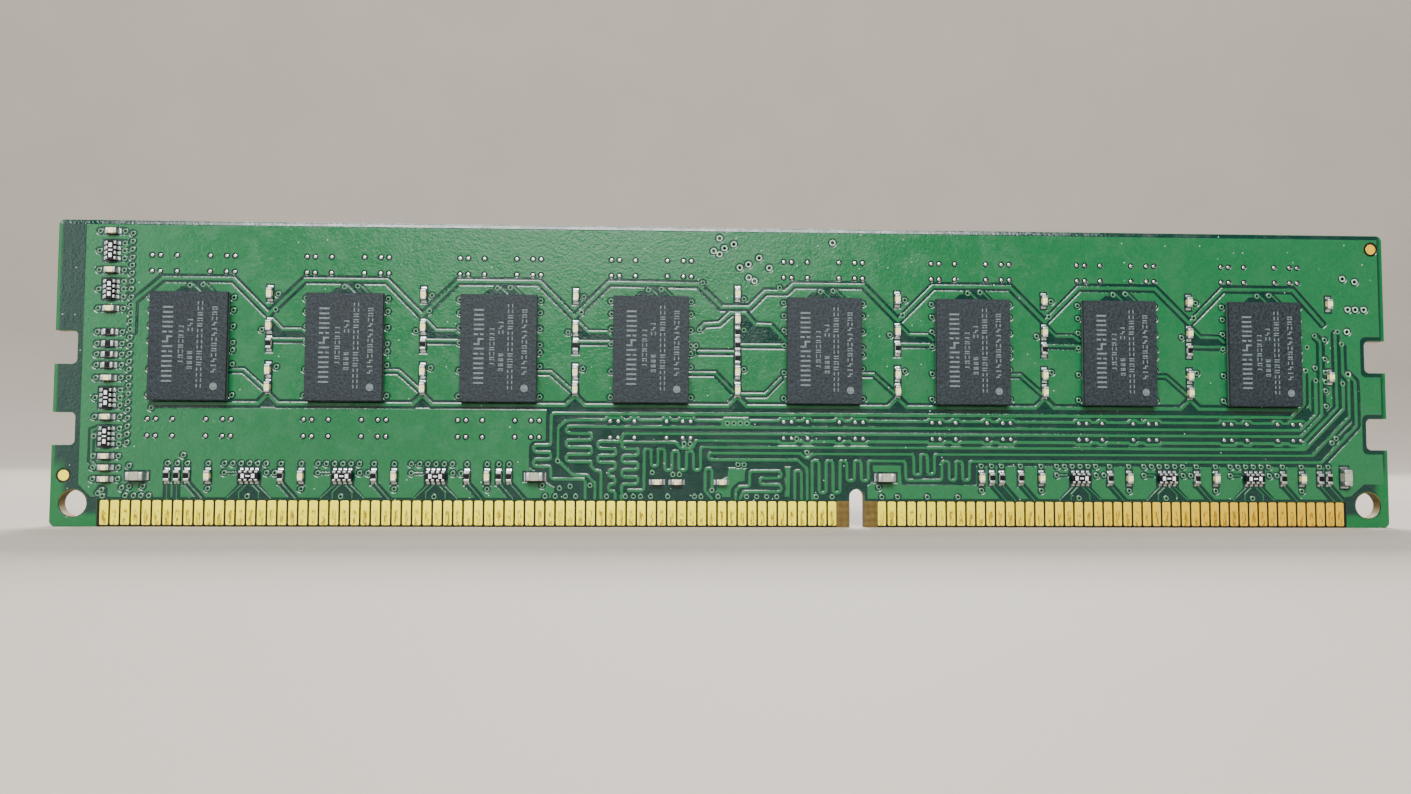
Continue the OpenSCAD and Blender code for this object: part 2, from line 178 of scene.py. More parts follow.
def bend(points, r, steps=3):
    """A line whose corners are rounded to a radius r, or as far as its stretches are long enough."""
    most = 0.48
    out = [points[0]]
    corners = [Vector(p) for p in points]
    for before, here, after in zip(corners, corners[1:], corners[2:]):
        u, v = before - here, after - here
        turn = math.pi - u.angle(v)
        reach = min(r * math.tan(turn / 2), most * u.length, most * v.length)
        start, end = here + u.normalized() * reach, here + v.normalized() * reach
        for k in range(steps + 1):
            t = k / steps
            out.append(tuple(start * (1 - t) ** 2 + here * 2 * t * (1 - t) + end * t * t))
    return out + [points[-1]]


def stroke(points, half):
    """The outline round a line of that half width, with eased ends."""
    same_place = 1e-4
    kept = [p for p, q in zip(points, points[1:]) if (Vector(p) - Vector(q)).length > same_place]
    points = kept + [points[-1]]
    start, end = points[0], points[-1]
    first = (Vector(points[1]) - Vector(start)).normalized()
    last = (Vector(end) - Vector(points[-2])).normalized()
    line = [(start[0] - first.x, start[1] - first.y), *points, (end[0] + last.x, end[1] + last.y)]
    right, left = [[mitre(*line[k:k + 3], d) for k in range(len(points))] for d in (half, -half)]
    nose = half * 0.7

    def cap(p, out):
        return [(p[0] + out.x * nose + s * out.y * half / 2, p[1] + out.y * nose - s * out.x * half / 2)
            for s in (1, -1)]

    return right + cap(end, last) + left[::-1] + cap(start, -first)


# ---- Meshes ----

def finish_mesh(name, bm, material, smooth=False):
    bmesh.ops.recalc_face_normals(bm, faces=bm.faces)
    mesh = bpy.data.meshes.new(name)
    bm.to_mesh(mesh)
    bm.free()
    for polygon in mesh.polygons:
        polygon.use_smooth = smooth
    mesh.materials.append(material)
    return mesh


def in_scene(name, data):
    obj = bpy.data.objects.new(name, data)
    bpy.context.scene.collection.objects.link(obj)
    return obj


def piece(name, mesh, place=(0, 0, 0), stands_for=()):
    obj = in_scene(name, mesh)
    obj.location = Vector(place) * MM
    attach(obj, "root")
    if stands_for:
        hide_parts(*stands_for)


def built(name, bm, material, stands_for=(), place=(0, 0, 0), smooth=False):
    """A piece from a bmesh."""
    piece(name, finish_mesh(name, bm, material, smooth), place, stands_for)


def loft(bm, loops):
    """Faces between closed loops of vertices of equal length."""
    for low, high in zip(loops, loops[1:]):
        n = len(low)
        for k in range(n):
            bm.faces.new((low[k], low[(k + 1) % n], high[(k + 1) % n], high[k]))


def stack(bm, layers, side):
    """A solid lofted through outlines of equal length, each with its height outwards."""
    loops = [[bm.verts.new((x * MM, side * out * MM, z * MM)) for x, z in outline] for outline, out in layers]
    loft(bm, loops)
    bm.faces.new(loops[-1])
    bm.faces.new(loops[0][::-1])


def cushion(bm, outline, low, high, r, side):
    """A solid on an outline, whose outer edge is rounded off to about r."""
    first_cut = 0.3 * r
    eased = [(grow(outline, -first_cut), high - first_cut), (grow(outline, -r), high)]
    stack(bm, [(outline, low), (outline, high - r)] + eased, side)


def slab_of(box, side):
    """A box's plan, and how far out its inner and outer faces are."""
    low, high = box
    heights = sorted((side * low.y, side * high.y))
    return (low.x, low.z, high.x, high.z), heights[0], heights[1]


# ---- Relief ----
# A relief is one closed mesh: a plan of outlines painted over each other, each at its own level.
# Every outline has a slope, from its own level inside to whatever lies round it.

# The lip levels also carry the mask's painted whitish highlight, and the pit level its painted near-black
# shade.
FLAT, RAISED, PIT, LOW_LIP, LIP = 0.0, 1.0, -1.0, 1.4, 2.0


class Plan:
    """Outlines to paint, each as (layer, level, foot of the inside, foot of the slope)."""

    def __init__(self, slope):
        self.slope = slope
        self.shapes = []

    def area(self, layer, level, outline):
        outline = anticlockwise(outline)
        half = self.slope / 2
        self.shapes.append((layer, level, grow(outline, -half), grow(outline, half)))

    def line(self, layer, level, points, width, r=0.0):
        points = bend(points, r) if r else points
        half = self.slope / 2
        self.shapes.append((layer, level, stroke(points, width / 2 - half), stroke(points, width / 2 + half)))

    def disc(self, layer, level, x, z, r, sides=12, slope=0.09):
        half = slope / 2
        self.shapes.append((layer, level, circle(x, z, r - half, sides), circle(x, z, r + half, sides)))


def triangulated(loops):
    """Vertices, and triangles between them, each with the set of the outlines that it lies in."""
    merge_within = 1e-5
    coords, faces = [], []
    for loop in loops:
        faces.append(list(range(len(coords), len(coords) + len(loop))))
        coords += [Vector(p) for p in loop]
    verts, _, tris, _, _, owners = delaunay_2d_cdt(coords, [], faces, 1, merge_within, True)
    return verts, [(tri, set(owner)) for tri, owner in zip(tris, owners)]


def spread(levels, waiting, joined):
    """Gives each waiting vertex the mean level of its neighbours, next to the known ones first."""
    while waiting:
        found = {}
        for v in waiting:
            near = [levels[n] for n in joined[v] if n in levels]
            if near:
                found[v] = sum(near) / len(near)
        if not found:
            found = {v: RAISED for v in waiting}
        levels.update(found)
        waiting -= set(found)


def relief(plan, outline, holes, heights, rim, back, side, inset=0.07):
    """Builds the plan's mesh inside an outline, raised where nothing is painted, with holes through it.

    Heights gives a level's height outwards, rim the height at the outline, which a band of width inset runs
    down to, and back that of the flat inner face. Each vertex keeps its level in the attribute "cover".
    """
    loops = [outline, grow(outline, -inset)]
    for h in holes:
        loops += [h, grow(h, inset)]
    first_shape = len(loops)
    shapes = sorted(plan.shapes, key=lambda s: s[0])
    for s in shapes:
        loops += [s[2], s[3]]
    verts, owned = triangulated(loops)
    kept, order_of = [], {}
    for tri, inside in owned:
        if 0 not in inside or any(k in inside for k in range(2, first_shape, 2)):
            continue
        kept.append(tri)
        if 1 not in inside or any(k in inside for k in range(3, first_shape, 2)):
            continue
        order = (max(max(inside), first_shape - 2) - first_shape) // 2
        if order >= 0 and first_shape + 2 * order not in inside:
            continue
        for v in tri:
            order_of[v] = max(order, order_of.get(v, -1))
    levels = {v: RAISED if order < 0 else shapes[order][1] for v, order in order_of.items()}
    used = {v for tri in kept for v in tri}
    uses, joined = {}, {v: set() for v in used}
    for tri in kept:
        for a, b in zip(tri, tri[1:] + tri[:1]):
            uses.setdefault(frozenset((a, b)), []).append((a, b))
            joined[a].add(b)
            joined[b].add(a)
    border = [pairs[0] for pairs in uses.values() if len(pairs) == 1]
    on_border = {v for pair in border for v in pair}
    spread(levels, used - set(levels) - on_border, joined)

    bm = bmesh.new()
    cover = bm.verts.layers.float.new("cover")
    made = {}
    for v in used:
        height = rim if v in on_border else heights(levels[v])
        made[v] = bm.verts.new((verts[v].x * MM, side * height * MM, verts[v].y * MM))
        made[v][cover] = RAISED if v in on_border else levels[v]
    under = {v: bm.verts.new((verts[v].x * MM, side * back * MM, verts[v].y * MM)) for v in on_border}
    for tri in kept:
        bm.faces.new([made[v] for v in tri])
    seams = []
    for a, b in border:
        bm.faces.new((made[b], made[a], under[a], under[b]))
        seams.append(bm.edges.get((under[a], under[b])))
    bmesh.ops.triangle_fill(bm, use_beauty=True, use_dissolve=False, edges=seams)
    return bm


# ---- Artwork ----
# Layers, from the first painted to the last
GAP, PATCH, GUARD, TRACE, PAD, PIT_LAYER = range(6)

chips = {side: [box_mm(f"dram_{side}_{k}") for k in range(1, 9)] for side in SIDES}
chip_xs = [middle(b).x for b in chips["back"]]
chip_z = middle(chips["back"][0]).z
chip_high = chips["back"][0][1].z
half_chip = (chips["back"][0][1].x - chips["back"][0][0].x) / 2
pitch = chip_xs[1] - chip_xs[0]
ball_pitch = 0.8
lanes = [(a + b) / 2 for a, b in zip(chip_xs, chip_xs[1:])]
half_length, _, height = box_mm("board_core")[1]
contact_top = box_mm("contacts_back")[1].z
window_x = middle(islands("contacts_back")[-1]).x + 0.7  # the end of the row of contacts, with its margin

ARCH_Z = 24.28  # the traces over the packages
LANE_TOP = 20.75  # where they come down to in the lanes
FOOT_Z = 12.0  # the trace along the packages' lower edges
CONTACT_Z = 2.8  # where the lines to the contacts end


def ring(plan, x, z, moat=True):
    """A small via under the mask: a raised annulus, painted a little paler as a highlight, with a dimple
    painted nearly black as shade.
    """
    if moat:
        plan.disc(GUARD, FLAT, x, z, 0.41)
    plan.disc(PAD, LOW_LIP, x, z, 0.27, slope=0.08)
    plan.disc(PIT_LAYER, PIT, x, z, 0.13, 8, slope=0.06)


def rings(plan, places, moat=True):
    for x, z in places:
        ring(plan, x, z, moat)


def gap(plan, outline):
    """An opening in the ground pour."""
    plan.area(GAP, FLAT, outline)


def guarded(plan, points, width=0.34, guard=0.88, r=0.0):
    """A trace with a gap on both its sides."""
    plan.line(GUARD, FLAT, points, guard, r)
    plan.line(TRACE, RAISED, points, width, r)


def square(x, z, *turns):
    """A line along X and Z only. It starts at x, z, and the turns are its next x, its next z and so on."""
    points = [(x, z)]
    for k, turn in enumerate(turns):
        x, z = (x, turn) if k % 2 else (turn, z)
        points.append((x, z))
    return points


def upright(points):
    return [(z, x) for x, z in points]


def snake(rows, a, b):
    """A line that runs to and fro between a and b along rows, from the first row's a."""
    points = []
    for k, row in enumerate(rows):
        points += [(b, row), (a, row)] if k % 2 else [(a, row), (b, row)]
    return points


def arches(plan):
    """The traces over all packages but the middle two, which come down to the lanes beside them."""
    drop = ARCH_Z - LANE_TOP
    reaches = {0: (2.95, 3.9), 1: (4.2, 3.85), 2: (4.2, 3.85), 5: (3.85, 4.1), 6: (3.85, 4.1), 7: (3.85, 3.5)}
    for k, (left, right) in reaches.items():
        a, b = chip_xs[k] - left, chip_xs[k] + right
        start = [(-59.25, 18.9), (-59.25, 22.0)] if k == 0 else [(a - drop, LANE_TOP)]
        end = (60.25, LANE_TOP) if k == 7 else (b + drop, LANE_TOP)
        guarded(plan, [*start, (a, ARCH_Z), (b, ARCH_Z), end])


def package_artwork(plan, x):
    """What repeats round every package."""
    top = chip_high
    gap(plan, [(x - 1.6, top - 0.3), (x - 1.6, top + 0.15), (x - 1.1, top + 0.6), (x - 0.6, top + 0.6),
        (x - 0.3, top + 0.95), (x + 1.1, top + 0.95), (x + 1.7, top + 0.6), (x + 2.6, top - 0.3)])
    for dx, z in ((-0.3, 23.62), (0.98, 23.7)):
        ring(plan, x + dx, z)
        guarded(plan, [(x + dx, z), (x + dx + 0.35, z), (x + dx + 1.3, z - 0.95)], 0.2, 0.5)
    for dz in (3.6, 2, 0.4, -0.35, -1.75):
        ring(plan, x + half_chip + 0.22, chip_z + dz)
    for dz in (3.55, 2.05, 0.55, -2.2):
        ring(plan, x - half_chip - 0.2, chip_z + dz)
    for s in (-1, 1):
        for dz in (-4.77, 4.85):
            ring(plan, x + s * (half_chip + 0.25), chip_z + dz)


def lane_artwork(plan, x):
    """What repeats in every lane between two packages, apart from the middle one."""
    near = x + pitch / 2 - half_chip
    far = x - pitch / 2 + half_chip
    gap(plan, [(x + 0.3, 18.1), (near + 0.2, 18.1), (near + 0.2, 19.05), (x + 1.25, 19.05), (x + 0.3, 20.0)])
    guarded(plan, [(x + 0.2, 20.35), (x + 1.2, 19.32), (near - 0.65, 19.32), (near, 18.8)], 0.28, 0.7)
    guarded(plan, [(x + 0.3, 18.35), (near + 0.1, 18.35)], 0.26, 0.8)
    guarded(plan, [(far - 0.1, 15.3), (far + 1.35, 15.3), (x - 0.25, 13.4)], 0.26, 0.72)
    for dx, z in ((0.78, 22.85), (-0.75, 19.3), (0.75, 15.65), (0.55, 21.3)):
        ring(plan, x + dx, z)


def foot_line(plan):
    """The trace along the packages' lower edges, which rises to a peak at every lane."""
    points = [(-57.2, FOOT_Z)]
    for x in lanes:
        points += [(x - 0.95, FOOT_Z), (x, FOOT_Z + 0.95), (x + 0.95, FOOT_Z)]
        gap(plan, [(x - 0.75, FOOT_Z - 0.35), (x + 0.75, FOOT_Z - 0.35), (x, FOOT_Z + 0.45)])
    guarded(plan, points + [(57.3, FOOT_Z)], 0.34, 0.9)


def middle_artwork(plan):
    """The middle lane, where the two halves meet."""
    left, right = chip_xs[3] - 4.2, chip_xs[4] + 4.1
    guarded(plan, [(left - 3.5, LANE_TOP), (left, ARCH_Z), (-3.93, ARCH_Z - 0.1), (-1.6, 21.93), (1.2, 21.93),
        (2.8, 23.55), (4.9, 23.55), (5.65, ARCH_Z), (right, ARCH_Z), (right + 3.5, LANE_TOP)])
    guarded(plan, [(-3.81, 19.66), (-3.3, 20.2), (-1.85, 20.3), (-0.7, 21.35), (0.8, 21.35), (1.85, 20.2),
        (3.35, 20.15), (5.0, 18.5)], 0.32, 0.8)
    gap(plan, [(0.35, 18.5), (4.8, 18.5), (4.8, 18.75), (3.3, 20.05), (1.6, 20.05), (0.35, 21.1)])
    guarded(plan, [(0.35, 18.15), (4.9, 18.15)], 0.26, 0.8)
    guarded(plan, [(-3.9, 17.45), (-0.4, 17.45)], 0.26, 0.8)
    guarded(plan, [(-5, 15.3), (-2.2, 15.3), (-0.35, 13.4)], 0.26, 0.75)
    guarded(plan, [(0.3, 13.2), (2.8, 13.2), (4.41, 14.84)], 0.28, 0.75)
    rings(plan, ((0.64, 22.8), (0.64, 19.66), (0.64, 15.7), (-3.5, 24.4), (4.24, 23.97), (-4.17, 18.04),
        (-3.81, 19.66)))


def dot_bumps(z, rise, from_x):
    """Points along a lane that steps round the test dots beside it, from from_x to the last package."""
    to_x, reach, ramp = 60, 0.55, 0.28
    points = []
    for x in chip_xs:
        for a, b in ((-5, -4), (-2, -2), (2, 2), (4, 5)):
            a, b = x + a * ball_pitch, x + b * ball_pitch
            start, end = a - reach, b + reach
            if from_x < start and end < to_x:
                points += [(start, z), (start + ramp, z + rise), (end - ramp, z + rise), (end, z)]
    return points


def right_end(z, turn_x, up_x, *end):
    """A lane's end, which turns up beside the last package."""
    return [(turn_x, z), (up_x, z + up_x - turn_x), *end]


def bus_lines():
    """The lines of the address bus, from the contacts through the serpentines to the right-hand end."""
    low = CONTACT_Z
    z1, z2, z3, z4, z5, z6, z7, z8 = 11.2, 10.55, 9.92, 9.25, 8.58, 7.95, 7.3, 6.62
    return [
        [(-15.05, low), (-15.05, 4.7), (-18.45, 4.7), *snake([5.95, 6.65, 7.35, 8.05], -18.45, -20.15),
            (-18.45, z1), *right_end(z1, 56.7, 58.1, (58.1, 16))],
        [(-14.1, low), (-14.1, 4.3), (-14.9, 5.1), (-16.3, 5.1), (-17.8, 6.6), (-17.8, 9.75), (-17, z2),
            *dot_bumps(z2, 0.28, -14), *right_end(z2, 57.95, 58.7, (58.7, 18.2))],
        [(-13.5, low), (-13.5, 5.5), (-14.1, 5.55), (-14.45, 5.95),
            *snake([6.42, 7.15, 7.87, 8.56, 9.27, z3], -14.45, -16.95),
            *right_end(z3, 57.65, 59.3, (59.3, 14.9))],
        [(-12.1, low), *snake([3.52, 4.2, 4.92, 5.64], -12.1, -12.75),
            *snake([6.35, 7.05, 7.75, 8.42], -12.05, -13.85), (-11.6, 8.42), (-11.3, z4),
            *right_end(z4, 57.7, 59.9, (59.9, 19), (59.35, 19.55))],
        [(-11.5, low), (-11.45, 3.4), *snake([4.22, 4.94, 5.65, 6.35, 7.05, 7.75], -11.45, -9.85),
            *square(-11.45, 8.38, -6.15), (-5.6, 7.8), (-4.5, 7.8), (-4.1, z5), *dot_bumps(z5, -0.28, -3),
            *right_end(z5, 57.9, 61.5, (61.5, 19.9))],
        [*square(-10.8, 3.6, -9.25, 7.75, -8.55, 6, -7.9, 7.75, -7.2, 5.55),
            *upright(snake([-6.5, -5.8, -5.05, -4.35], 5.6, 7.5)), (-3.65, 5.6), (-3.65, z6),
            *right_end(z6, 58.05, 62.2, (62.2, 14.6))],
        [(7, low), (7, 5.8), *square(6.1, 6.66, -2.85, 7.36, 6.3), (6.8, 6.88), (7.15, 6.88),
            *square(7.6, z7, 17.75, 5.2, 18.45, z7, 19.15, 5.3, 19.85, z7),
            *right_end(z7, 58.8, 62.8, (62.8, 15.15), (62.2, 15.75), (62.2, 18.6))],
        [(7.5, low), *upright(snake([7.5, 8.2, 8.9, 9.6, 10.3], 3.4, z8)),
            *upright(snake([11, 11.75, 12.45, 13.15], z8, 4.6)), (16.9, z8),
            *square(16.95, 4.68, 20.6, z8, 21.35, 4.68, 22, z8, 22.7, 4.68, 23.4, z8),
            *right_end(z8, 59.75, 63.5, (63.5, 14.9), (62.8, 15.6))],
        [(-2.5, 3.6), (-2.5, 5.8), (-3.2, 5.8), (-3.2, 3.6), (-2.5, low)],
        [(-0.15, low), (-0.15, 3.6), (0.25, 4), (1.25, 4),
            *square(1.25, 5.55, 4.4, 4.9, 2.3, 4.2, 4.4, 3.5, 0.6), (0.3, low)],
        [(5.75, low), (5.75, 5.6), (6.45, 5.6), (6.45, low)],
    ]


def bus_artwork(plan):
    """The window in the pour that holds the address bus, with the bus and the vias in and beside it."""
    top, low, left = 11.72, 6.33, -18.95
    gap(plan, [(13.05, 2.45), (13.05, 4.1), (13.6, 4.65), *square(13.6, 6.2, 16.55, 4.25, 24.1, low, 59.9),
        (61.5, 8), (58.5, 12.2), (57.4, top), (left, top), (left, 8.45), (-20.3, 8.4), (-20.6, 8.1),
        (-20.6, 5.9), (-20.2, 5.6), (-18.85, 5.6), (-18.85, 4.35), (-18.1, 3.9), (-18.1, 2.45)])
    plan.area(PATCH, RAISED, [(-2.3, 2.95), (-0.5, 2.95), (-0.35, 3.9), (0.1, 4.5), (1.0, 4.6), (1.0, 5.9),
        (-0.85, 5.9), (-0.95, 5.0), (-2.3, 4.3)])
    plan.area(PATCH, RAISED, [(4.75, 3), (5.3, 3), (5.35, 6), (4.75, 6)])
    plan.area(TRACE, RAISED, [(-1.45, 9.8), (1.2, 9.8), (1.35, 10.1), (1.35, 10.6), (1.1, 10.9),
        (-1.35, 10.9), (-1.6, 10.6), (-1.6, 10.1)])
    for points in bus_lines():
        guarded(plan, points, 0.3, 0.95, 0.33)
    rings(plan, [(58.3, 16), (58.5, 18.4), (59.33, 15), (59.33, 19.6), (61.75, 20.03), (62.17, 14.7),
        (62.17, 18.75), (62.72, 15.67), (6.98, 7.43), (-2.5, 3.65), (-17.8, 6.5)], moat=False)
    rings(plan, [(60.38, z) for z in (19.17, 17.2, 15.83, 14.85, 13.95, 12.37)])
    rings(plan, [(59.33, 16.28), (61.33, 9.08), (60.88, 8.62), (-5.3, 8.25), (-4.7, 8.25), (-8.45, 5.4),
        (-6.4, 5.2), (-5.75, 5.2), (-17.6, 3.8), (-16.55, 4), (-14.6, 4.1), (-19.3, 4.1), (0.07, 6.2),
        (0.7, 6.2), (14.2, 4), (5.95, 8.8)])
    rings(plan, [(-1 + 0.65 * k, 10.33) for k in range(4)])
    rings(plan, [(x, 3.02) for x in (-19, -18, -17, -16, -12.95, -11.1, -10.3, -9.6, -8.6, -6.9, -4.25,
        -3.6, -1.9, 0.95, 1.95, 2.95, 3.95, 7.9, 9.5, 14.5, 16.1, 19.1, 22.2)])


def array_fan(plan, x, z):
    """Traces that fan out from a resistor array to its four contacts, and the vias above it."""
    top, low, fine = z - 0.9, CONTACT_Z - 0.05, 0.13
    gap(plan, [(x - 0.95, top + 0.1), (x - 2.6, low - 0.3), (x + 2.6, low - 0.3), (x + 0.95, top + 0.1)])
    for s in (-1, 1):
        outer, inner = x + s * 2.1, x + s * 0.95
        plan.line(TRACE, RAISED, [(x + s * 0.75, top), (outer, low)], fine)
        plan.line(TRACE, RAISED, [(x + s * 0.25, top), (inner, top - 0.7), (inner, low)], fine)
    ring(plan, x - 0.15, 2.95)
    gap(plan, rect(x - 1.2, z + 0.5, x + 1.2, z + 1.1))
    rings(plan, [(x + dx, z + 1.2) for dx in (-2.4, -1.6, -0.8, 0, 0.8, 1.6)])
    rings(plan, [(x + dx, z + 0.3) for dx in (-2.4, 1.65, 2.45)])
    guarded(plan, [(x - 2.3, z + 0.3), (x - 1.3, z + 0.3)], 0.16, 0.42)


def resistor_drop(plan, x, z, slant):
    """The trace from a resistor straight down to its contact, or slanting to the next one."""
    top, low = z - 0.7, CONTACT_Z - 0.05
    foot, out = low - 0.4, x + 1.4
    points = [(x, top), (x + 0.1, top - 0.05), (out, low), (out, foot)] if slant else [(x, top), (x, foot)]
    guarded(plan, points, 0.13, 0.72)
    ring(plan, x, z + 1.2)


def left_artwork(plan, column_x):
    """The termination parts down the left-hand end, with their vias."""
    rings(plan, [(column_x + 1.95, 28.7 - 0.79 * k) for k in range(27)])
    for low, high in small_parts["back"]:
        x, z = (low.x + high.x) / 2, (low.z + high.z) / 2
        if abs(x - column_x) > 0.3:
            continue
        is_array = high.z - low.z > 1
        rings(plan, [(high.x + 0.42, z + dz) for dz in ((-0.75, 0, 0.75) if is_array else (0,))])
        ring(plan, low.x - 0.42, z)
        if is_array:
            for dz in (-0.4, 0.35):
                stub = [(high.x, z + dz), (high.x + 0.5, z + dz), (column_x + 1.9, z + dz + 0.45)]
                guarded(plan, stub, 0.18, 0.5)
    guarded(plan, [(-62.2, 9.6), (-62.9, 9.3), (-62.9, 6.3), (-62.3, 5.72)], 0.24, 0.66)
    gap(plan, [(-62.3, 2.6), (-61.2, 2.6), (-61.2, 3.7), (-61.5, 4), (-62.1, 4), (-62.5, 3.5)])
    rings(plan, ((-61.8, 3.55), (-62.15, 3.2), (-61.7, 2.95), (-59.25, 5.9), (-59.9, 3.75), (-59.2, 3.9),
        (-57.9, 3.9), (-59.55, 3), (-58.75, 3.0), (-58.05, 3), (-57.3, 3), (-54.1, 6.95), (-57.3, 11.55)))


def edge_artwork(plan, notches):
    """Where the pour stops short of the board's edges, its notches and its contacts."""
    margin = 0.42
    far, over = half_length + 1, height + 1
    gap(plan, rect(-far, height - margin, far, over))
    gap(plan, rect(half_length - 0.5, -1, far, over))
    gap(plan, [(-far, -1), (-60.8, -1), (-60.8, 2.85), (-62.8, 2.85), (-64.05, 4.1), (-64.05, over),
        (-far, over)])
    gap(plan, [(60.8, -1), (far, -1), (far, 4.4), (64.1, 4.4), (62.7, 3.2), (60.8, 2.85)])
    gap(plan, rect(-window_x - 1, -1, window_x + 1, contact_top + 0.28))
    for s, depth, low, high in notches:
        ends = sorted((s * (depth - margin), s * far))
        gap(plan, rounded(ends[0], low - margin, ends[1], high + margin, 0.5))
    gap(plan, [(10.9, -1), (13.1, -1), (13.1, 3.9), (12.6, 4.4), (11.4, 4.4), (10.9, 3.9)])


def part_windows(plan, side):
    """The pour is open under every small part."""
    margin = 0.16
    for low, high in small_parts[side]:
        gap(plan, rect(low.x - margin, low.z - margin, high.x + margin, high.z + margin))


def via_pads(plan):
    """The raised lips of the open vias, painted whitish as a highlight."""
    for x, _, z in map(in_plan, islands("via_barrels")):
        plan.disc(GUARD, FLAT, x, z, 0.46, 16)
        plan.disc(PAD, LIP, x, z, 0.32, 16, slope=0.08)


def bare_spots(plan, side):
    """Where the mask is open round the test dots and the fiducials."""
    for b in islands(f"test_pads_{side}"):
        plan.disc(GUARD, PIT, middle(b).x, middle(b).z, 0.29, 12)
    for b in islands("fiducials"):
        if middle(b).y * SIDES[side] > 0:
            plan.disc(GUARD, PIT, middle(b).x, middle(b).z, 0.74, 24)


# ---- Small parts, from their CAD solids ----

def touching(a, b, slack=0.012):
    return all(a[0][k] <= b[1][k] + slack and b[0][k] <= a[1][k] + slack for k in range(3))


def clusters(side):
    """Each small part as a list of (node, box): the solids that touch each other."""
    kinds = ("capacitor", "resistor", "array", "bulk", "solder_fillets")
    nodes = sorted(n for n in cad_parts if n.endswith(side) and n.startswith(kinds))
    solids = sorted(((n, b) for n in nodes for b in islands(n)), key=lambda s: s[1][0].x)
    groups = []
    for name, b in solids:
        joined = [(name, b)]
        for g in [g for g in groups if any(touching(b, other) for _, other in g)]:
            joined += g
            groups.remove(g)
        groups.append(joined)
    return groups


def around(solids):
    lows, highs = zip(*[b for _, b in solids])
    return Vector(map(min, zip(*lows))), Vector(map(max, zip(*highs)))


def latch_boxes(outline):
    """The latch notches, each as its end of the board, how far out its floor is, its low and its high."""
    deepest, apart, past_the_end = 2.3, 3, (1000, 0)
    boxes = []
    for s in (-1, 1):
        inner = sorted((z, x) for x, z in outline
            if half_length - deepest < s * x < half_length - 0.01 and 1 < z < height - 1)
        group = [inner[0]]
        for p in inner[1:] + [past_the_end]:
            if p[0] - group[-1][0] > apart:
                boxes.append((s, min(s * x for _, x in group), group[0][0], group[-1][0]))
                group = []
            group.append(p)
    return boxes


parts_of = {side: clusters(side) for side in SIDES}
small_parts = {side: [around(p) for p in parts_of[side]] for side in SIDES}


# ---- Materials ----

def rgb(r, g, b):
    """A display colour from 0 to 255 as the linear one that a shader takes."""
    display = (r / 255, g / 255, b / 255)
    linear = [c / 12.92 if c <= 0.04045 else ((c + 0.055) / 1.055) ** 2.4 for c in display]
    return (*linear, 1)


class Surface:
    """A material, with short calls for its nodes."""

    def __init__(self, name, roughness=0.5, metallic=0.0, specular=0.5):
        self.material = bpy.data.materials.new(name)
        self.material.use_nodes = True
        self.tree = self.material.node_tree
        self.shader = self.tree.nodes["Principled BSDF"]
        self.shader.inputs["Roughness"].default_value = roughness
        self.shader.inputs["Metallic"].default_value = metallic
        self.shader.inputs["Specular IOR Level"].default_value = specular
        self.where = self.node("ShaderNodeTexCoord").outputs["Object"]

    def node(self, kind, inputs=(), **settings):
        n = self.tree.nodes.new(kind)
        for key, value in settings.items():
            setattr(n, key, value)
        for key, value in dict(inputs).items():
            if isinstance(value, bpy.types.NodeSocket):
                self.tree.links.new(value, n.inputs[key])
            else:
                n.inputs[key].default_value = value
        return n

    def to(self, socket, value):
        self.tree.links.new(value, self.shader.inputs[socket])

    def math(self, operation, a, b=0.0):
        return self.node("ShaderNodeMath", {0: a, 1: b}, operation=operation).outputs[0]

    def times(self, a, b):
        return self.math("MULTIPLY", a, b)

    def plus(self, a, b):
        return self.math("ADD", a, b)

    def ramp(self, value, low, high, a=0.0, b=1.0):
        """A value taken smoothly from low..high to a..b."""
        ends = {0: value, 1: low, 2: high, 3: a, 4: b}
        return self.node("ShaderNodeMapRange", ends, interpolation_type="SMOOTHSTEP", clamp=True).outputs[0]

    def mix(self, share, a, b):
        return self.node("ShaderNodeMix", {0: share, 6: a, 7: b}, data_type="RGBA").outputs[2]

    def noise(self, size_mm, detail=2.0, rough=0.5, stretch=None):
        where = self.where
        if stretch:
            where = self.node("ShaderNodeMapping", {"Vector": where, "Scale": stretch}).outputs[0]
        inputs = {"Vector": where, "Scale": 1 / (size_mm * MM), "Detail": detail, "Roughness": rough}
        return self.node("ShaderNodeTexNoise", inputs).outputs[0]

    def wave(self, direction, size_mm, distortion):
        inputs = {"Vector": self.where, "Scale": 1 / (size_mm * MM), "Distortion": distortion, "Detail": 2.0}
        return self.node("ShaderNodeTexWave", inputs, bands_direction=direction).outputs[1]

    def spots(self, size_mm, radius):
        """1 in small scattered spots, 0 between them. A share of the cells has none."""
        share = 0.55
        cells = self.node("ShaderNodeTexVoronoi", {"Vector": self.where, "Scale": 1 / (size_mm * MM)}).outputs
        chance = self.node("ShaderNodeSeparateColor", {0: cells["Color"]}).outputs[0]
        spot = self.ramp(cells["Distance"], radius, radius * 0.6)
        return self.times(spot, self.math("GREATER_THAN", chance, share))

    def axes(self):
        return self.node("ShaderNodeSeparateXYZ", {0: self.where}).outputs

    def attribute(self, name):
        return self.node("ShaderNodeAttribute", attribute_name=name).outputs["Fac"]

    def bump(self, value, depth_mm, strength=1.0):
        bump = self.node("ShaderNodeBump", {"Height": value, "Distance": depth_mm * MM, "Strength": strength})
        self.to("Normal", bump.outputs[0])


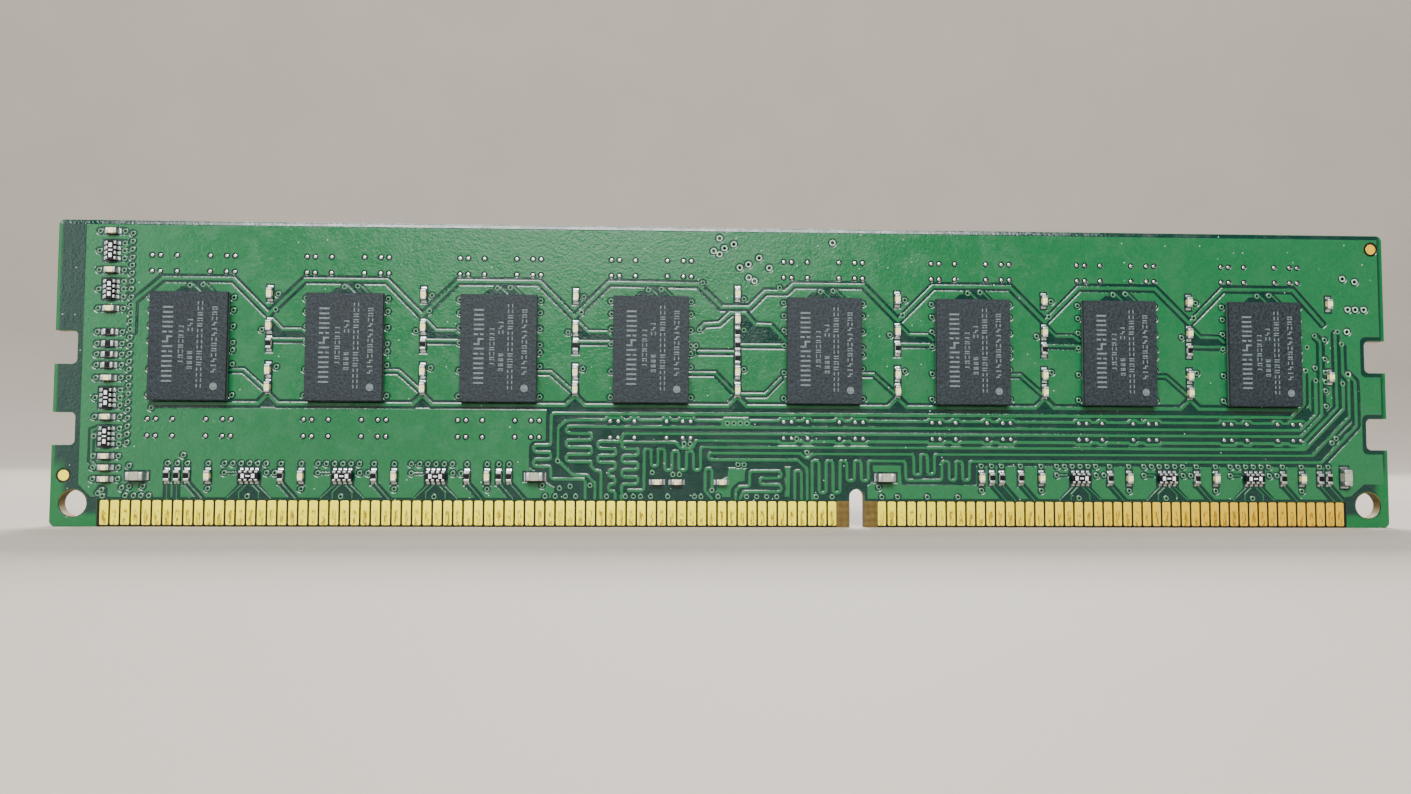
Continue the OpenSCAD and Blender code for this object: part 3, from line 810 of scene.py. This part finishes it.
def solder_mask():
    """Green mask: pale over copper, dark over laminate, whitish on a via's lip as a painted highlight, nearly
    black in its dimple as painted shade.

    It is brighter along the board's edges, where no inner copper lies behind it. Its top edge is rolled off.
    """
    s = Surface("solder_mask", specular=0.46)
    cover = s.attribute("cover")
    x, _, z = s.axes()
    patch = s.noise(9, 3)
    fine = s.noise(0.28, 3, 0.6)
    over = s.mix(patch, rgb(20, 84, 48), rgb(25, 90, 53))
    over = s.mix(s.ramp(fine, 0.35, 0.7, 0, 0.35), over, rgb(36, 100, 61))
    bare = s.mix(patch, rgb(1, 36, 29), rgb(2, 43, 35))
    inward = s.math("SUBTRACT", half_length * MM, s.math("ABSOLUTE", x))
    edge = s.math("MAXIMUM", s.ramp(z, 1.6 * MM, 0.9 * MM), s.ramp(inward, 0.5 * MM, 0.15 * MM))
    corner = s.times(s.ramp(inward, 1.7 * MM, 0.8 * MM), s.ramp(z, 7 * MM, 5 * MM))
    bare = s.mix(s.math("MAXIMUM", edge, corner), bare, rgb(2, 86, 42))
    colour = s.mix(s.ramp(cover, 0.3, 0.95), bare, over)
    # Painted shade: the vias' dimples are painted nearly black; the openings round the test dots and
    # fiducials, at the same level, take the same colour.
    colour = s.mix(s.ramp(cover, -0.2, -0.9), colour, rgb(2, 10, 8))
    # Painted highlight: a via's lip, and a little of a small via's ring, is painted whitish.
    colour = s.mix(s.ramp(cover, 1.25, 1.7), colour, rgb(150, 180, 160))
    dust = s.times(s.spots(0.9, 0.07), 0.7)
    s.to("Base Color", s.mix(dust, colour, rgb(214, 226, 214)))
    s.to("Roughness", s.ramp(s.noise(1.5, 5, 0.68), 0.4, 0.6, 0.05, 0.26))
    rolled_off = s.ramp(z, (height - 0.5) * MM, (height - 0.02) * MM, 0, -3.0)
    s.bump(s.plus(s.plus(fine, s.times(s.noise(0.9, 2), 0.5)), rolled_off), 0.03)
    return s.material


def laminate():
    """Woven glass in resin, painted nearly black as shade in the gaps between the contacts, but not at the
    key notch.
    """
    s = Surface("laminate", roughness=0.62, specular=0.25)
    x, y, z = s.axes()
    thread = s.times(s.plus(*[s.wave(d, 2.2, 1.2) for d in ("X", "Z")]), 0.5)
    colour = s.mix(thread, rgb(74, 57, 16), rgb(90, 72, 27))
    colour = s.mix(s.times(s.wave("Y", 0.9, 3.0), 0.4), colour, rgb(136, 120, 66))
    bare_from, bare_to = 9.93 * MM, 14.07 * MM
    bare = s.times(s.math("GREATER_THAN", x, bare_from), s.math("LESS_THAN", x, bare_to))
    low = s.math("LESS_THAN", z, (contact_top + 0.1) * MM)
    face = s.math("GREATER_THAN", s.math("ABSOLUTE", y), 0.56 * MM)
    dark = s.times(s.times(low, face), s.math("SUBTRACT", 1.0, bare))
    # Painted shade: low on the faces, between the contacts, the laminate is painted nearly black, except at
    # the open key notch.
    s.to("Base Color", s.mix(dark, colour, rgb(8, 6, 3)))
    s.bump(thread, 0.02)
    return s.material


def gold():
    """Plated contacts, with the streak that a socket's springs have rubbed down the middle of each."""
    s = Surface("gold", metallic=0.7, specular=0.3)
    x, _, z = s.axes()
    whole_pitches, contact_pitch = 100 * MM, 1.0 * MM
    phase = s.math("FRACT", s.math("DIVIDE", s.plus(x, whole_pitches), contact_pitch))
    beside = s.math("ABSOLUTE", s.math("SUBTRACT", phase, 0.5))
    streak = s.times(s.ramp(beside, 0.3, 0.12), s.ramp(z, 1.85 * MM, 1.45 * MM))
    streak = s.times(streak, s.ramp(s.noise(0.14, 4, 0.7, (1, 1, 0.25)), 0.42, 0.58))
    worn = s.ramp(s.noise(1.3, 3), 0.35, 0.75, 0.0, 0.35)
    colour = s.mix(worn, rgb(255, 242, 36), rgb(252, 230, 32))
    # Painted shade: the contacts turn darker and more orange towards the right, as light falls off across the
    # row.
    colour = s.mix(s.ramp(x, 5 * MM, 60 * MM, 0, 0.85), colour, rgb(230, 178, 34))
    s.to("Base Color", s.mix(s.times(streak, 0.9), colour, rgb(122, 92, 28)))
    s.to("Roughness", s.plus(s.ramp(s.noise(0.35, 3), 0.2, 0.8, 0.42, 0.54), s.times(streak, 0.15)))
    s.bump(s.plus(s.noise(0.12, 4), s.times(streak, 0.8)), 0.006)
    return s.material


def mould():
    """Black moulding compound with its grain, and paler where it is laser marked."""
    s = Surface("mould", specular=0.3)
    grain = s.noise(0.25, 3, 0.8)
    colour = s.mix(s.ramp(grain, 0.38, 0.68), rgb(0, 4, 7), rgb(30, 45, 53))
    colour = s.mix(s.times(s.noise(2.5, 2), 0.3), colour, rgb(13, 25, 30))
    marked = s.mix(s.ramp(grain, 0.3, 0.7), rgb(70, 82, 84), rgb(100, 111, 112))
    s.to("Base Color", s.mix(s.ramp(s.attribute("cover"), 0.7, 0.2), colour, marked))
    s.to("Roughness", s.ramp(grain, 0.2, 0.8, 0.48, 0.68))
    s.bump(s.plus(grain, s.times(s.noise(0.5, 2), 0.5)), 0.05)
    return s.material


def metal(name, low, high, rough):
    grain_mm = 0.2
    s = Surface(name, metallic=1.0)
    s.to("Base Color", s.mix(s.noise(grain_mm * 3, 3), low, high))
    s.to("Roughness", s.ramp(s.noise(grain_mm, 3), 0.25, 0.75, rough, rough + 0.16))
    s.bump(s.noise(grain_mm, 3), 0.01)
    return s.material


def ceramic(name, low, high, rough, specular=0.5):
    grain_mm = 0.12
    s = Surface(name, specular=specular)
    s.to("Base Color", s.mix(s.ramp(s.noise(grain_mm, 3, 0.6), 0.3, 0.7), low, high))
    s.to("Roughness", s.ramp(s.noise(grain_mm * 2, 2), 0.25, 0.75, rough, rough + 0.14))
    s.bump(s.noise(grain_mm, 3), 0.008)
    return s.material


def paper():
    """The label's face: white film with faint fibres and slight ripples, and grey ink in its marks."""
    s = Surface("paper", roughness=0.42)
    fibre = s.noise(0.5, 4, 0.6, (1, 1, 4))
    plain = s.mix(fibre, rgb(226, 226, 220), rgb(242, 242, 238))
    s.to("Base Color", s.mix(s.ramp(s.attribute("cover"), 0.6, 0.4), plain, rgb(70, 72, 76)))
    s.bump(s.noise(5, 2), 0.12, 0.6)
    return s.material


MASK = solder_mask()
LAMINATE = laminate()
GOLD = gold()
MOULD = mould()
SOLDER = metal("solder", rgb(168, 172, 176), rgb(214, 216, 218), 0.24)
DOT = metal("dot_solder", rgb(168, 171, 174), rgb(208, 210, 212), 0.22)
# Painted shade: the via walls are nearly black, as the shade inside the holes, not the colour of their
# plating.
SHADED_VIA_WALL = metal("via_wall", rgb(26, 30, 20), rgb(52, 50, 34), 0.35)
TIN = metal("tin", rgb(176, 180, 182), rgb(222, 222, 220), 0.36)
COPPER = metal("copper", rgb(184, 112, 70), rgb(214, 146, 98), 0.35)
SILICON = metal("silicon", rgb(92, 98, 110), rgb(118, 124, 138), 0.22)
CREAM = ceramic("cream_ceramic", rgb(212, 200, 140), rgb(234, 222, 168), 0.42)
GREY = ceramic("grey_ceramic", rgb(128, 130, 114), rgb(158, 158, 140), 0.42)
WHITE = ceramic("white_ceramic", rgb(190, 190, 184), rgb(214, 214, 208), 0.45)
SLATE = ceramic("dark_ceramic", rgb(5, 7, 9), rgb(14, 16, 20), 0.45, specular=0.2)
COAT = ceramic("black_coat", rgb(2, 3, 6), rgb(8, 10, 16), 0.3, specular=0.2)
SUBSTRATE = ceramic("package_substrate", rgb(26, 66, 44), rgb(40, 92, 60), 0.5)
INK = ceramic("white_ink", rgb(206, 210, 210), rgb(232, 234, 234), 0.5)
PAPER = paper()


# ---- The board ----
# How far out from the middle plane the surfaces lie
lip_out, mask_out, bare_mask_out, dimple_out, laminate_out = 0.65, 0.635, 0.6, 0.582, 0.575


def mask_height(level):
    """The mask's height: on a via's lip, over copper, over laminate, or in a via's dimple."""
    if level > RAISED:
        return mask_out + (lip_out - mask_out) * (level - RAISED)
    if level >= 0:
        return bare_mask_out + (mask_out - bare_mask_out) * level
    return bare_mask_out + (bare_mask_out - dimple_out) * level


def part_artwork(plan, side):
    """The lines and vias that belong to the small parts of the bottom row."""
    for solids in parts_of[side]:
        low, high = around(solids)
        c = (low + high) / 2
        if c.z > 6 or c.x < -58:
            continue
        kinds = {n.split("_")[0] for n, _ in solids}
        if "array" in kinds:
            array_fan(plan, c.x, c.z)
        elif "resistor" in kinds:
            resistor_drop(plan, c.x, c.z, slant=c.x > 24 or abs(c.x + 53.7) < 0.1 or -50 < c.x < -20)
        elif "capacitor" in kinds and high.z - low.z > high.x - low.x:
            ring(plan, c.x, c.z + 1.2)
            ring(plan, c.x, c.z - 1.25)


def board_face(side):
    """One face's mask, in relief over the copper below it."""
    loops = sorted(face_loops(f"solder_mask_{side}", SIDES[side] * mask_out), key=lambda l: -abs(area(l)))
    outline = loops[0]
    holes = [l for l in loops[1:] if 2.6 < span(l)[0] < 2.9 and abs(span(l)[0] - span(l)[1]) < 0.02]
    holes += [circle(middle(b).x, middle(b).z, (b[1].x - b[0].x) / 2, 12) for b in islands("via_barrels")]
    plan = Plan(0.11)
    edge_artwork(plan, latch_boxes(outline))
    for x in chip_xs:
        package_artwork(plan, x)
    for x in lanes[:3] + lanes[4:]:
        lane_artwork(plan, x)
    arches(plan)
    middle_artwork(plan)
    part_windows(plan, side)
    via_pads(plan)
    bare_spots(plan, side)
    bus_artwork(plan)
    foot_line(plan)
    if side == "back":
        left_artwork(plan, min(middle(b).x for b in small_parts[side]))
    part_artwork(plan, side)
    bm = relief(plan, outline, holes, mask_height, 0.58, laminate_out, SIDES[side])
    built(f"solder_mask_relief_{side}", bm, MASK, (f"solder_mask_{side}", f"copper_{side}"))


def contact_rows(side):
    """The gold contacts, each with round corners and an eased edge."""
    inset = 0.02
    bm = bmesh.new()
    for b in islands(f"contacts_{side}"):
        (x0, z0, x1, z1), low, high = slab_of(b, SIDES[side])
        cushion(bm, rounded(x0 + inset, z0, x1 - inset, z1, 0.13, 2), low, high, 0.022, SIDES[side])
    built(f"edge_contacts_{side}", bm, GOLD, (f"contacts_{side}",))


def test_dots(side):
    """Solder domes on the test pads."""
    dome = (1, 0), (0.96, 0.4), (0.8, 0.75), (0.5, 0.95), (0.2, 1)  # shares of its radius and its height
    bm = bmesh.new()
    for b in islands(f"test_pads_{side}"):
        (x0, _, x1, _), low, high = slab_of(b, SIDES[side])
        c, r = middle(b), (x1 - x0) / 2 - 0.02
        stack(bm, [(circle(c.x, c.z, r * s, 12), low + (high - low) * h) for s, h in dome], SIDES[side])
    built(f"test_dots_{side}", bm, DOT, (f"test_pads_{side}",), smooth=True)


def fiducial_marks():
    bm = bmesh.new()
    for b in islands("fiducials"):
        c = middle(b)
        side = -1 if c.y < 0 else 1
        (x0, _, x1, _), low, high = slab_of(b, side)
        cushion(bm, circle(c.x, c.z, (x1 - x0) / 2 - 0.05, 32), low, high, 0.012, side)
    built("fiducial_marks", bm, GOLD, ("fiducials",))


# ---- Memory packages ----

def glyph(plan, x, z, across, along, kind):
    """One plain mark, about a character's size, made of short bars. It is no letter of any script."""
    w, h = across / 2, along / 2
    bar = 0.13 * across + 0.05
    bars = [
        [(-w, -h, w, -h + bar), (-w, h - bar, w, h)],
        [(-w, -h, -w + bar, h), (w - bar, -h, w, h)],
        [(-w, -bar / 2, w, bar / 2), (w - bar, -h, w, -bar)],
        [(-w, -h, w * 0.2, -h + bar), (-w * 0.2, h - bar, w, h), (-bar / 2, -h + bar, bar / 2, h - bar)],
        [(-w, -h, -w * 0.1, -h + bar), (w * 0.25, -h, w, -h + bar), (-w, h - bar, w, h)],
    ]
    for x0, z0, x1, z1 in bars[kind % len(bars)]:
        plan.area(0, FLAT, rect(x + x0, z + z0, x + x1, z + z1))


def marked_block(box, side, plan, corner, steps, mark_depth, rim_drop, inset=0.07):
    """A box's solid round its own middle in X and Z, with the plan's marks sunk in its outer face."""
    (x0, z0, x1, z1), inner, outer = slab_of(box, side)
    w, h = (x1 - x0) / 2, (z1 - z0) / 2

    def surface(level):
        return outer - mark_depth * (1 - level)

    outline = rounded(-w, -h, w, h, corner, steps)
    return relief(plan, outline, [], surface, outer - rim_drop, inner, side, inset)


def packages(side):
    """The packages' moulds, laser marked with plain bars and the dot at ball 1."""
    plan = Plan(0.02)
    for x, low, high, across, along, step, seed in (
            (-1.93, -3.7, 4.0, 0.98, 0.68, 0.96, 6),
            (-0.63, -1.8, 2.1, 0.5, 0.32, 0.49, 1),
            (0.24, -2.4, -0.45, 0.5, 0.28, 0.49, 2),
            (0.24, 1.3, 2.75, 0.5, 0.32, 0.49, 3),
            (1.15, -4.2, 4.5, 0.52, 0.34, 0.54, 4),
            (2.54, -2.7, 3.9, 0.52, 0.34, 0.51, 5)):
        for k in range(round((high - low) / step)):
            glyph(plan, x, low + (k + 0.5) * step, across, along, (k * k + k * seed + 2 * seed) % 7)
    plan.disc(0, FLAT, 2.57, -3.97, 0.37, 20)
    bm = marked_block(chips[side][0], SIDES[side], plan, 0.04, 2, 0.01, 0.03, 0.03)
    mesh = finish_mesh(f"package_{side}", bm, MOULD)
    for k, b in enumerate(chips[side], 1):
        piece(f"memory_package_{side}_{k}", mesh, in_plan(b), (f"dram_{side}_{k}",))


# ---- Small parts ----

def solder_wedge(bm, fillet, end, side):
    """Solder that climbs a part's end, a box, in a hollow curve that is lower at both sides."""
    steps, pinch, side_height = 5, 0.12, 0.8
    (x0, z0, x1, z1), low, high = slab_of(fillet, side)
    c, e = middle(fillet), middle(end)
    along_x = x1 <= end[0].x + 0.02 or x0 >= end[1].x - 0.02
    if along_x:
        near, far = (x1, x0) if c.x < e.x else (x0, x1)
        first, last = z0, z1
    else:
        near, far = (z1, z0) if c.z < e.z else (z0, z1)
        first, last = x0, x1
    turns = [math.pi / 2 * k / steps for k in range(steps + 1)]
    profile = [(1 - math.sin(a), 1 - math.cos(a)) for a in turns] + [(0, 0)]
    rows = []
    for t in (0, pinch, 1 - pinch, 1):
        across = first + (last - first) * t
        share = side_height if t in (0, 1) else 1
        row = []
        for out, up in profile:
            reach = near + (far - near) * out
            rise = low + (high - low) * up * share
            x, z = (reach, across) if along_x else (across, reach)
            row.append(bm.verts.new((x * MM, side * rise * MM, z * MM)))
        rows.append(row)
    loft(bm, rows)
    bm.faces.new(rows[0][::-1])
    bm.faces.new(rows[-1])


def block_pieces(node, material, name, corner, round_off, smooth=False, swell=0.0):
    """A node's boxes, each with eased corners and edges."""
    side = 1 if node.endswith("front") else -1
    bm = bmesh.new()
    for b in islands(node):
        (x0, z0, x1, z1), low, high = slab_of(b, side)
        outline = rounded(x0 - swell, z0 - swell, x1 + swell, z1 + swell, corner, 2)
        cushion(bm, outline, low, high, round_off, side)
    built(name, bm, material, (node,), smooth=smooth)


def fillets(side):
    bm = bmesh.new()
    for solids in parts_of[side]:
        ends = [b for n, b in solids if "_ends_" in n]
        for n, b in solids:
            if n.startswith("solder"):
                end = next(e for e in ends if touching(b, e))
                solder_wedge(bm, b, end, SIDES[side])
    built(f"solder_joints_{side}", bm, SOLDER, (f"solder_fillets_{side}",))


def coats(side):
    """Black glass over the resistors, and over the arrays with three plain marks in white."""
    sign = SIDES[side]
    sunk, ink_depth = 0.008, 0.012
    glass, ink = bmesh.new(), bmesh.new()
    for b in islands(f"resistor_coats_{side}"):
        (x0, z0, x1, z1), low, high = slab_of(b, sign)
        if max(x1 - x0, z1 - z0) < 1.5:
            cushion(glass, rounded(x0, z0, x1, z1, 0.03, 2), low, high, 0.03, sign)
            continue
        outline = rounded(x0 + 0.05, z0 + 0.04, x1 - 0.05, z1 - 0.04, 0.05, 2)
        cushion(glass, outline, low, high - sunk, 0.02, sign)
        c = middle(b)
        along = (x1 - x0) > (z1 - z0)
        for k in (-1, 0, 1):
            w, h = (0.15, 0.2) if k else (0.19, 0.07)
            x, z = (c.x + 0.5 * k, c.z) if along else (c.x, c.z + 0.5 * k)
            cushion(ink, rect(x - w, z - h, x + w, z + h), high - ink_depth, high, 0.003, sign)
    built(f"resistor_glass_{side}", glass, COAT, (f"resistor_coats_{side}",))
    built(f"array_marks_{side}", ink, INK)


def passives(side):
    """The capacitors, resistors and arrays of one face, with their ends, coats and solder."""
    for kind, material, name, slot, corner, round_off in (
            ("capacitor", CREAM, "capacitor_ceramic", "capacitor_ceramic", 0.03, 0.03),
            ("bulk_capacitor", GREY, "bulk_ceramic", "bulk_ceramic", 0.05, 0.05),
            ("resistor", WHITE, "resistor_alumina", "alumina", 0.02, 0.01),
            ("array", SLATE, "array_alumina", "alumina", 0.03, 0.02)):
        block_pieces(f"{kind}_bodies_{side}", material, f"{name}_{side}", corner, round_off)
    for kind, r in (("capacitor", 0.05), ("resistor", 0.04), ("bulk_capacitor", 0.08), ("array", 0.04)):
        swell = 0.0 if kind == "array" else 0.008
        block_pieces(f"{kind}_ends_{side}", TIN, f"{kind}_caps_{side}", r, r, True, swell)
    coats(side)
    fillets(side)


# ---- The front face's memory chip and label ----

def small_memory():
    """The presence-detect memory, with a row of plain bars and a dot on it."""
    box = box_mm("eeprom_body")
    w, h = (box[1].x - box[0].x) / 2, (box[1].z - box[0].z) / 2
    plan = Plan(0.03)
    plan.disc(0, FLAT, -w + 0.5, -h + 0.5, 0.22, 16)
    for k in range(5):
        plan.area(0, FLAT, rect(-0.9 + 0.5 * k, -0.15, -0.6 + 0.5 * k, 0.25))
    bm = marked_block(box, 1, plan, 0.08, 2, 0.01, 0.06, 0.06)
    built("presence_detect_memory", bm, MOULD, ("eeprom_body",), in_plan(box))


def label():
    """A paper label across the packages, with ruled lines, a row of bars and a solid bar."""
    box = box_mm("blank_label")
    end, margin = (box[1].x - box[0].x) / 2, 1.4
    bar_widths = (0.16, 0.28, 0.1, 0.22)
    plan = Plan(0.04)
    for z in (-2.6, -1.3, 0):
        plan.area(0, FLAT, rect(-end + margin, z, end - 13, z + 0.22))
    for k in range(22):
        x = end - 11.5 + 0.46 * k
        plan.area(0, FLAT, rect(x, -2.6, x + bar_widths[k % 4], 0.6))
    plan.area(0, FLAT, rect(-end + margin, 1.5, end - margin, 2.5))
    bm = marked_block(box, 1, plan, 0.8, 5, 0.004, 0.03)
    built("module_label", bm, PAPER, ("blank_label",), in_plan(box))


# ---- CAD nodes that stay, with their materials ----

def finish_cad_nodes():
    finishes = {"board_core": LAMINATE, "prepreg": LAMINATE, "ground_plane": COPPER, "power_plane": COPPER,
        "via_barrels": SHADED_VIA_WALL, "dram_substrates": SUBSTRATE, "dram_dies": SILICON, "solder_balls": SOLDER,
        "eeprom_leads": TIN}
    for name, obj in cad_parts.items():
        for start, material in finishes.items():
            if name.startswith(start):
                obj.data.materials.clear()
                obj.data.materials.append(material)


# ---- Camera, light and floor ----

def camera():
    """A short lens close in front of the back face, a little below its middle."""
    data = bpy.data.cameras.new("camera")
    data.lens = 28.13
    data.clip_start = 0.005
    data.clip_end = 20
    obj = in_scene("camera", data)
    place, aim = Vector((-8.03, -110.36, 7.05)) * MM, Vector((-3.19, -0.635, 12.93)) * MM
    obj.location = place
    roll = Matrix.Rotation(math.radians(0.22), 4, "Z").to_quaternion()
    obj.rotation_euler = ((aim - place).to_track_quat("-Z", "Y") @ roll).to_euler()
    bpy.context.scene.camera = obj


def light(name, place, size, power, aim=(0, 0, 0.015)):
    """A soft panel that faces the board, or another aim."""
    data = bpy.data.lights.new(name, "AREA")
    data.shape = "RECTANGLE"
    data.size, data.size_y = size
    data.energy = power
    obj = in_scene(name, data)
    obj.location = place
    obj.rotation_euler = (Vector(aim) - Vector(place)).to_track_quat("-Z", "Y").to_euler()
    obj.visible_camera = False


def lighting():
    world = bpy.data.worlds.new("studio")
    world.use_nodes = True
    background = world.node_tree.nodes["Background"].inputs
    background["Color"].default_value = (0.93, 0.97, 1.0, 1)
    background["Strength"].default_value = 0.3
    bpy.context.scene.world = world
    light("key", (-0.04, -0.39, 0.345), (0.41, 0.18), 6.8)
    light("softbox", (-0.045, -0.55, 0.215), (0.25, 0.17), 0.85)
    light("left_panel", (-0.42, -0.45, 0.1), (0.3, 0.3), 0.7)
    light("rear_key", (0.04, 0.39, 0.345), (0.41, 0.18), 6.8)
    light("rear_softbox", (0.045, 0.55, 0.215), (0.25, 0.17), 0.85)
    light("wall_wash", (0, 0.25, 0.62), (1.0, 0.2), 8.0, aim=(0, 1, 0.2))


def backdrop():
    """A pale floor that sweeps up into a wall all round."""
    flat, sweep, top, steps, sides = 0.55, 0.35, 0.7, 10, 48
    profile = [(flat * 0.5, 0.0)]
    for k in range(steps + 1):
        a = math.pi / 2 * k / steps
        profile.append((flat + sweep * math.sin(a), sweep * (1 - math.cos(a))))
    profile.append((flat + sweep, top))
    bm = bmesh.new()
    loops = [[bm.verts.new((x, y, z)) for x, y in circle(0, 0, r, sides)] for r, z in profile]
    bm.faces.new(loops[0])
    loft(bm, loops)
    s = Surface("floor_paint", roughness=0.8)
    s.to("Base Color", s.mix(s.noise(60, 3), rgb(150, 142, 132), rgb(158, 150, 140)))
    mesh = finish_mesh("backdrop", bm, s.material, smooth=True)
    if any(polygon.normal.z < -0.5 for polygon in mesh.polygons):
        mesh.flip_normals()
    in_scene("backdrop", mesh)


camera()
lighting()
backdrop()
for side in SIDES:
    board_face(side)
    contact_rows(side)
    test_dots(side)
    packages(side)
    passives(side)
fiducial_marks()
small_memory()
label()
finish_cad_nodes()
